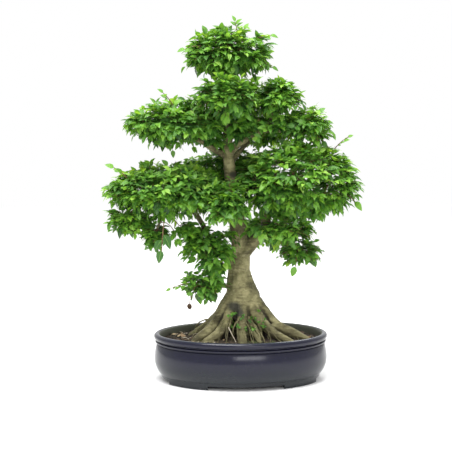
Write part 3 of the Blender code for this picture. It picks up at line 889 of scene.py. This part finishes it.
def fork(roots, ends):
    """Joins every end to the nearest root or earlier end, as a plant forks: (start, end, load) for each."""
    places = list(roots)
    reach = [0.0] * len(places)
    parent = [-1] * len(places)
    waiting = list(range(len(ends)))
    best = {}
    for end in waiting:
        gaps = np.linalg.norm(np.array(places) - ends[end], axis=1)
        best[end] = (gaps.min(), int(gaps.argmin()))
    order = []
    while waiting:
        end = min(waiting, key=lambda item: best[item][0])
        waiting.remove(end)
        source = best[end][1]
        places.append(ends[end])
        parent.append(source)
        reach.append(reach[source] + float(np.linalg.norm(places[source] - ends[end])))
        order.append(len(places) - 1)
        for other in waiting:
            gap = float(np.linalg.norm(places[-1] - ends[other])) + 0.35 * reach[-1]
            if gap < best[other][0]:
                best[other] = (gap, len(places) - 1)
    load = [1.0] * len(places)
    for number in reversed(order):
        load[parent[number]] += load[number]
    return [(places[parent[number]], places[number], load[number]) for number in order]


def outside(faces, spot):
    """How far a spot stands outside a closed solid: less than nought inside it."""
    place, normal, _, gap = faces.find_nearest(Vector(spot))
    return gap if (Vector(spot) - place).dot(normal) > 0 else -gap


def tuft(origin, lead, out, rise, draw, stems, leaves, faces=None, overhang=OVERHANG):
    """Adds one tuft's shoots and leaves, trimmed a little outside faces. rise is its height in the pad."""
    under = max(0.0, -rise - 0.10)
    overhang *= min(1.5, max(0.2, 1 + 0.9 * rise))
    for _ in range(SHOOTS_PER_TUFT):
        direction = unit(lead + draw.normal(size=3) * (0.62, 0.62, 0.36))
        length = SHOOT_LENGTH * draw.uniform(0.75, 1.25)
        vigour = draw.normal() * 0.11
        if faces:
            past = outside(faces, origin + direction * length) - overhang / 3
            length *= min(1.0, max(0.45, 1 - past / length))
        end = origin + direction * length - UP * length * (0.20 - 0.10 * rise)
        line = bend(origin, end, (0, 0, 0.12), 5)
        stems.append(stem(line, TWIG_RADIUS, 0.12))
        tangent = unit(end - origin)
        side = unit(np.cross(tangent, UP) + 1e-6)
        hand = draw.choice((-1.0, 1.0))
        for share in LEAVES_AT:
            hand = -hand
            place = line[0] + (line[-1] - line[0]) * share + UP * length * 0.48 * share * (1 - share)
            # The tone is the leaf's age along its shoot with painted light added: lighter the higher the tuft
            # sits in the pad, painted shade lower down.
            age_and_top_light = 0.42 * share + 0.46 * (rise + 1) / 2 + vigour + draw.normal() * 0.10
            sideways = hand * (0.85 if share < 1 else 0.0)
            axis = tangent * (0.45 + 0.4 * share) + side * sideways + out * 0.35
            axis = axis + UP * (0.12 + 0.22 * max(0.0, rise) - 0.55 * under) + draw.normal(size=3) * 0.28
            facing = UP + out * (0.30 + 0.6 * under) + draw.normal(size=3) * 0.30
            size = LEAF_LENGTH * draw.uniform(0.72, 1.22) * (1.12 - 0.34 * share) * (1 + 0.30 * under)
            curl = draw.uniform(0.5, 1.9)
            tone = int(TONES * np.clip(age_and_top_light, 0, 0.999))
            shade = draw.integers(SHADES)
            limit = draw.uniform(0, overhang)
            if not faces or outside(faces, place + unit(axis) * size) < limit:
                leaves.append((place, axis, facing, size, curl, tone, shade))


def grow_pad(name, draw):
    """The stems and leaves of one pad, grown out to the surface of its solid and trimmed to it."""
    low, high = corners_of(name)
    middle = (low + high) / 2
    half = (high - low) / 2
    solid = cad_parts[name].data
    faces = tree_of(solid)
    spots, ways = surface_points(solid, TUFT_SPACING, draw)
    radial = unit((spots - middle) / half**2)
    ways = unit(ways * 0.35 + radial)
    depth = np.minimum(TUFT_DEPTH + TUFT_DEPTH_UNDER * np.clip(-ways[:, 2], 0, 1), 0.8 * half[2])
    origins = spots - ways * depth[:, None]
    nearby = wood_spots[((wood_spots > low - 0.02) & (wood_spots < high + 0.02)).all(1)]
    if len(nearby) == 0:
        nearby = wood_spots[np.linalg.norm(wood_spots - middle, axis=1).argsort()[:40]]
    roots = nearby[draw.choice(len(nearby), size=min(60, len(nearby)), replace=False)]
    overhang = OVERHANG * CLOSELY_TRIMMED.get(name, 1.0)
    stems = []
    for start, end, load in fork(roots, origins):
        radius = TWIG_RADIUS * (1.0 + 0.55 * math.sqrt(load))
        line = bend(start, end, (0, 0, 0.10))
        stems.append(stem(line, radius, 0.25 / len(line)))
    leaves = []
    for origin, way in zip(origins, ways):
        rise = (origin[2] - middle[2]) / half[2]
        out = unit(np.array((way[0], way[1], 0.0)) + 1e-6)
        lead = unit(way * 0.8 + out * 0.35 + UP * (0.34 + 0.20 * rise))
        tuft(origin, lead, out, rise, draw, stems, leaves, faces, overhang)
        # Big leaves hang below the underside of the pad, in the darkest tones as painted shade.
        if way[2] < -0.15 and draw.random() < 0.45:
            size = HANGING_LEAF * draw.uniform(0.70, 1.15)
            place = origin + way * depth.mean() * 0.45
            axis = unit(out * 0.30 - UP + draw.normal(size=3) * 0.22)
            facing = out + UP * 0.3 + draw.normal(size=3) * 0.35
            if outside(faces, place + axis * size) < overhang / 2:
                leaves.append((place, axis, facing, size, 0.7, draw.integers(0, 2), draw.integers(SHADES)))
    return stems, leaves


leaf_green, tree = new_material("green_leaves")
tone, chance, within, own_map = cell_nodes(tree)
spread = math_node(tree, "MULTIPLY", math_node(tree, "SUBTRACT", chance, 0.5), 0.16)
tone = math_node(tree, "ADD", tone, spread)
GREENS = [
    (0.00, (0.020, 0.080, 0.018)),
    (0.30, (0.060, 0.190, 0.032)),
    (0.60, (0.130, 0.330, 0.044)),
    (0.85, (0.235, 0.500, 0.060)),
    (1.00, (0.390, 0.650, 0.110)),
]
from_rib = math_node(tree, "ABSOLUTE", math_node(tree, "SUBTRACT", within[0], 0.5))
rib = range_node(tree, from_rib, 0.040, 0.012)
along = math_node(tree, "MULTIPLY", within[1], 52)
slant = math_node(tree, "SUBTRACT", along, math_node(tree, "MULTIPLY", from_rib, 46))
veins = range_node(tree, math_node(tree, "SINE", slant), 0.55, 0.98)
blotch = noise_node(tree, own_map, 60, 3)
colour = tinted(tree, ramp_node(tree, tone, GREENS), (
    (blotch, 0.35, 0.65, 0.25, (0.034, 0.130, 0.018)),
    (veins, 0.0, 1.0, 0.16, (0.240, 0.440, 0.090)),
    (rib, 0.0, 1.0, 0.40, (0.320, 0.500, 0.130)),
))
feed(tree, "Base Color", colour)
feed(tree, "Roughness", 0.40)
ridges = math_node(tree, "ADD", math_node(tree, "MULTIPLY", veins, 0.6), rib)
sunken = math_node(tree, "MULTIPLY", ridges, -1.0)
feed(tree, "Normal", bump_node(tree, sunken, 0.5, 0.0006))
through = tree.nodes.new("ShaderNodeBsdfTranslucent")
glow = mix_node(tree, 1.0, colour, (1.55, 1.35, 0.60), "MULTIPLY")
tree.links.new(glow, through.inputs["Color"])
blend = tree.nodes.new("ShaderNodeMixShader")
blend.inputs[0].default_value = 0.36
tree.links.new(tree.nodes["Principled BSDF"].outputs[0], blend.inputs[1])
tree.links.new(through.outputs[0], blend.inputs[2])
tree.links.new(blend.outputs[0], tree.nodes["Material Output"].inputs["Surface"])

twig_bark, tree = new_material("twig_bark")
flecks = noise_node(tree, object_places(tree), 180, 3)
YOUNG_BARK = [(0.30, (0.100, 0.052, 0.026)), (0.55, (0.190, 0.108, 0.054)), (0.75, (0.300, 0.205, 0.115))]
feed(tree, "Base Color", ramp_node(tree, flecks, YOUNG_BARK))
feed(tree, "Roughness", 0.75)

for number, name in enumerate(sorted(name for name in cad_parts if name.startswith("leaves_"))):
    stems, leaves = grow_pad(name, np.random.default_rng(400 + number))
    pad = name.removeprefix("leaves_")
    foliage = copies("foliage_" + pad, leaf_pattern, leaves, leaf_green)
    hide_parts(name)
    twigs = tubes("twigs_" + pad, stems, twig_bark)


# The stray shoots
# Thin shoots that have grown past the pads since the last trimming, each from inside its pad. Some end in
# one big leaf, one at the lowest left keeps a dead leaf, and short tufts come straight from the old wood.
STRAY_STEM = 0.0012
SIDE_STEM = 0.0009
DEAD_STEM = 0.0010
BIG_LEAF = 0.020
# Each is (pad, start, end, leaves, leaf length, tone), with the places as shares of the pad's box.
STRAYS = (
    ("leaves_middle_right", (0.76, 0.42, 0.84), (0.895, 0.38, 1.02), 6, 0.013, 5),
    ("leaves_middle_right", (0.80, 0.42, 0.46), (0.955, 0.40, 0.30), 2, 0.024, 5),
    ("leaves_low_right", (0.40, 0.30, 0.60), (0.33, 0.22, 0.06), 1, 0.024, 5),
    ("leaves_lowest_left", (0.25, 0.30, 0.60), (-0.34, 0.22, 0.45), 5, 0.014, 5),
    ("leaves_lower_left", (0.45, 0.12, 0.10), (0.43, 0.08, -0.32), 3, 0.027, 1),
    ("leaves_crown", (0.60, 0.40, 0.84), (0.57, 0.36, 1.02), 4, 0.016, 5),
    ("leaves_crown", (0.20, 0.40, 0.62), (0.02, 0.34, 0.56), 4, 0.017, 5),
    ("leaves_crown", (0.78, 0.40, 0.40), (0.98, 0.34, 0.28), 4, 0.018, 4),
    ("leaves_crown", (0.80, 0.40, 0.74), (0.96, 0.34, 0.80), 4, 0.017, 5),
    ("leaves_upper_left", (0.46, 0.30, 0.84), (0.36, 0.25, 1.06), 4, 0.016, 5),
    ("leaves_upper_right_outer", (0.60, 0.40, 0.35), (0.98, 0.40, -0.02), 4, 0.021, 3),
    ("leaves_lower_left", (0.18, 0.30, 0.72), (0.08, 0.25, 0.88), 4, 0.017, 5),
)
# The tufts on the old wood, as (x, height, rise in the crown): round the trunk below the crown, at the
# upper left branch, beside the lower left spray, and low on the right branch.
SIDE_TUFTS = (
    (-0.034, 0.612, 0.0), (-0.012, 0.600, -0.2), (0.012, 0.606, -0.2), (0.034, 0.592, -0.3),
    (-0.040, 0.580, -0.4), (0.000, 0.572, -0.5), (0.028, 0.564, -0.6), (-0.072, 0.560, -0.2),
    (-0.052, 0.548, -0.5), (-0.058, 0.322, 0.0), (-0.040, 0.300, -0.2), (-0.046, 0.276, -0.3),
    (-0.034, 0.256, -0.4), (0.088, 0.378, -0.5), (0.068, 0.352, -0.6), (0.096, 0.344, -0.5),
    (0.064, 0.588, -0.3), (0.086, 0.582, -0.3), (0.104, 0.594, -0.1), (0.120, 0.578, -0.4),
    (-0.028, 0.336, -0.1), (-0.028, 0.288, -0.3), (-0.014, 0.266, -0.4), (-0.080, 0.300, 0.0),
    (-0.066, 0.340, 0.1), (-0.122, 0.356, 0.0), (-0.132, 0.342, -0.2), (-0.080, 0.628, 0.5),
    (-0.105, 0.624, 0.5), (0.030, 0.640, 0.2),
)
stems = []
leaves = []
draw = np.random.default_rng(59)
for pad, start, end, count, size, tone in STRAYS:
    low, high = corners_of(pad)
    line = bend(low + (high - low) * start, low + (high - low) * end, (0, 0, 0.08), 8)
    stems.append(stem(line, STRAY_STEM, 1 / 60 if size > BIG_LEAF else 1 / 15))
    way = unit(line[-1] - line[0])
    side = unit(np.cross(way, UP))
    for number in range(count):
        last = number == count - 1
        share = 0.92 if last else 0.40 + 0.56 * number / count
        place = line[0] + (line[-1] - line[0]) * share
        hand = 0.0 if last else (0.8 if number % 2 else -0.8)
        axis = way + side * hand + draw.normal(size=3) * 0.15
        facing = UP * 0.7 + np.array(to_camera) * 0.8 + draw.normal(size=3) * 0.2
        leaves.append((place, axis, facing, size * draw.uniform(0.85, 1.15), 1.3, tone, number))
dead_stalk = corners_of("leaves_lowest_left")[0] + (0.010, 0.020, 0.006)
line = bend(dead_stalk - UP * 0.003, dead_stalk + (0.020, 0.012, 0.048), (0, 0, 0))
stems.append(stem(line, DEAD_STEM))
for x, height, rise in SIDE_TUFTS:
    hit = wood_faces.find_nearest(Vector((x, pot_middle.y - 0.02, height)))[0]
    foot = np.array((x, min(hit.y, pot_middle.y) - 0.008, height))
    stems.append(stem(bend(np.array(hit), foot, (0, 0, 0.2)), SIDE_STEM))
    out = unit(np.array((0.7 * np.sign(x - hit.x), -0.8, 0.0)))
    tuft(foot, unit(out + UP * 0.15), out, rise, draw, stems, leaves)
stray_leaves = copies("stray_leaves", leaf_pattern, leaves, leaf_green)
stray_stems = tubes("stray_stems", stems, twig_bark)


# The sprouts at the foot of the trunk
# Soft young shoots with small round leaves, which have come up along the cracks between the roots.
SPROUT_LEAF = 0.0068
SPROUT_STEM = 0.0004
SPROUTS = 20

draw = np.random.default_rng(77)
low, high = corners_of("base_sprouts")
leaves = []
stems = []
for _ in range(SPROUTS):
    spot = low + (high - low) * draw.uniform((-0.45, 0.0, -0.30), (1.35, 0.0, 1.35))
    hit = wood_faces.ray_cast(Vector(spot - (0, 0.05, 0)), Vector((0, 1, 0)))[0]
    foot = np.array(hit if hit else spot)
    tip = foot + draw.normal(size=3) * (0.006, 0.002, 0.004) + (0, -0.006, 0.005)
    line = bend(foot + (0, 0.002, 0), tip, (0, -0.1, 0.1))
    stems.append(stem(line, SPROUT_STEM))
    for share in (0.4, 0.7, 0.9, 1.0, 1.0):
        axis = np.array((0, -0.6, 0.1)) + draw.normal(size=3) * 0.8
        facing = UP + np.array((0, -0.6, 0)) + draw.normal(size=3) * 0.3
        place = foot + (tip - foot) * share
        size = SPROUT_LEAF * draw.uniform(0.7, 1.15)
        leaves.append((place, axis, facing, size, 0.5, draw.integers(1, 6), draw.integers(SHADES)))
sprouts = copies("sprouts", leaf_pattern, leaves, leaf_green, (1.5, 1.0))
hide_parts("base_sprouts")
sprout_stems = tubes("sprout_stems", stems, twig_bark)


# The litter on the soil
# Dead leaves and bits of twig that have dropped on the soil, most of them at its left end, the one dead
# leaf that still hangs, a bleached stick that leans among the roots, and clumps of moss by the front edge.
DRY_LEAVES = 90
DRY_TWIGS = 60
DRY_TWIG_RADIUS = 0.0005
STICK_RADIUS = 0.0011
MOSS_CLUMPS = 7
TUFTS_PER_CLUMP = 60

dry, tree = new_material("dry_leaves")
tone, _, _, own_map = cell_nodes(tree)
STRAW = [(0.0, (0.075, 0.042, 0.020)), (0.5, (0.240, 0.150, 0.075)), (1.0, (0.520, 0.400, 0.230))]
colour = ramp_node(tree, tone, STRAW)
spotting = noise_node(tree, own_map, 90, 4)
feed(tree, "Base Color", tinted(tree, colour, [(spotting, 0.50, 0.68, 0.6, (0.090, 0.050, 0.025))]))
feed(tree, "Roughness", 0.8)

moss_green, tree = new_material("moss_green")
tone, _, _, own_map = cell_nodes(tree)
MOSS = [(0.0, (0.030, 0.060, 0.012)), (1.0, (0.170, 0.260, 0.050))]
fuzz = noise_node(tree, own_map, 160, 2)
colour = tinted(tree, ramp_node(tree, tone, MOSS), [(fuzz, 0.4, 0.7, 0.5, (0.020, 0.045, 0.010))])
feed(tree, "Base Color", colour)
feed(tree, "Roughness", 0.95)


def litter_spot(draw, left_share):
    """A place on the soil, often near its left end."""
    turn = draw.uniform(0, 2 * math.pi)
    x, y = in_pot(turn, 0.86 * math.sqrt(draw.uniform(0.25, 1.0)))
    if draw.random() < left_share:
        x = pot_middle.x - draw.uniform(0.35, 0.82) * (pot_length / 2)
        y = in_pot(draw.uniform(0, 2 * math.pi), 0.5)[1]
    return on_soil(x, y)


draw = np.random.default_rng(91)
placed = []
for _ in range(DRY_LEAVES):
    spot = litter_spot(draw, 0.55) + UP * 0.0012
    axis = draw.normal(size=3) * (1, 1, 0.12)
    facing = UP + draw.normal(size=3) * 0.35
    size, curl = draw.uniform(0.008, 0.019), draw.uniform(-0.8, 1.2)
    placed.append((spot, axis, facing, size, curl, draw.integers(TONES), draw.integers(SHADES)))
placed.append((dead_stalk, (0.1, 0.0, -1.0), np.array(to_camera), 0.018, 2.5, 0, 3))
dry_leaves = copies("dry_leaves", leaf_pattern, placed, dry)

stems = []
for _ in range(DRY_TWIGS):
    spot = litter_spot(draw, 0.5) + UP * 0.0008
    way = unit(draw.normal(size=3) * (1, 1, 0.05)) * draw.uniform(0.006, 0.022)
    stems.append(stem(bend(spot, spot + way, (0, 0, 0.08)), DRY_TWIG_RADIUS))
stick_foot = on_soil(pot_middle.x - 0.018, pot_middle.y - 0.078) - UP * 0.002
stems.append(stem(bend(stick_foot, stick_foot + (-0.017, 0.010, 0.034), (0, 0, 0)), STICK_RADIUS))
bleached, tree = new_material("bleached_twig")
fibres = noise_node(tree, object_places(tree), 160, 3)
WEATHERED = [(0.35, (0.36, 0.29, 0.20)), (0.65, (0.72, 0.66, 0.54))]
feed(tree, "Base Color", ramp_node(tree, fibres, WEATHERED))
feed(tree, "Roughness", 0.8)
dry_twigs = tubes("dry_twigs", stems, bleached)

placed = []
for _ in range(MOSS_CLUMPS):
    turn = draw.uniform(-2.6, -0.6)
    x, y = in_pot(turn, draw.uniform(0.62, 0.86))
    for _ in range(TUFTS_PER_CLUMP):
        off = draw.normal(size=2) * 0.006
        spot = on_soil(x + off[0], y + off[1])
        axis = UP + draw.normal(size=3) * 0.5
        facing, size = draw.normal(size=3), draw.uniform(0.0012, 0.0030)
        placed.append((spot - UP * 0.0005, axis, facing, size, 1.0, draw.integers(TONES), 0))
moss = copies("moss", stone_pattern, placed, moss_green)


# The floor and the light
# A plain pale floor under a white sky, with a large soft lamp above, a smaller one behind, and a wide one in
# front that shines in the glaze.
bpy.ops.mesh.primitive_plane_add(size=12, location=(0, 0, 0))
floor = bpy.context.object
floor.name = "floor"
pale, tree = new_material("pale_floor")
feed(tree, "Base Color", (0.98, 0.98, 0.98, 1.0))
feed(tree, "Roughness", 0.9)
dress(floor, pale)

world = bpy.data.worlds.new("white_sky")
world.use_nodes = True
world.node_tree.nodes["Background"].inputs["Color"].default_value = (1.0, 1.0, 1.0, 1.0)
world.node_tree.nodes["Background"].inputs["Strength"].default_value = 1.0
bpy.context.scene.world = world

for name, place, width, height, power in (
    ("lamp_above", (-0.4, -0.7, 2.6), 1.5, 1.5, 85),
    ("lamp_behind", (0.6, 1.6, 2.0), 1.0, 1.0, 24),
    ("lamp_front", (0.50, -3.1, 1.05), 1.7, 0.7, 20),
):
    lamp = put(name, bpy.data.lights.new(name, "AREA"))
    lamp.data.shape = "RECTANGLE"
    lamp.data.size = width
    lamp.data.size_y = height
    lamp.data.energy = power
    lamp.visible_camera = False
    lamp.location = place
    lamp.rotation_euler = (Vector((0, 0, 0.4)) - Vector(place)).to_track_quat("-Z", "Y").to_euler()
bpy.context.scene.view_settings.view_transform = "Standard"
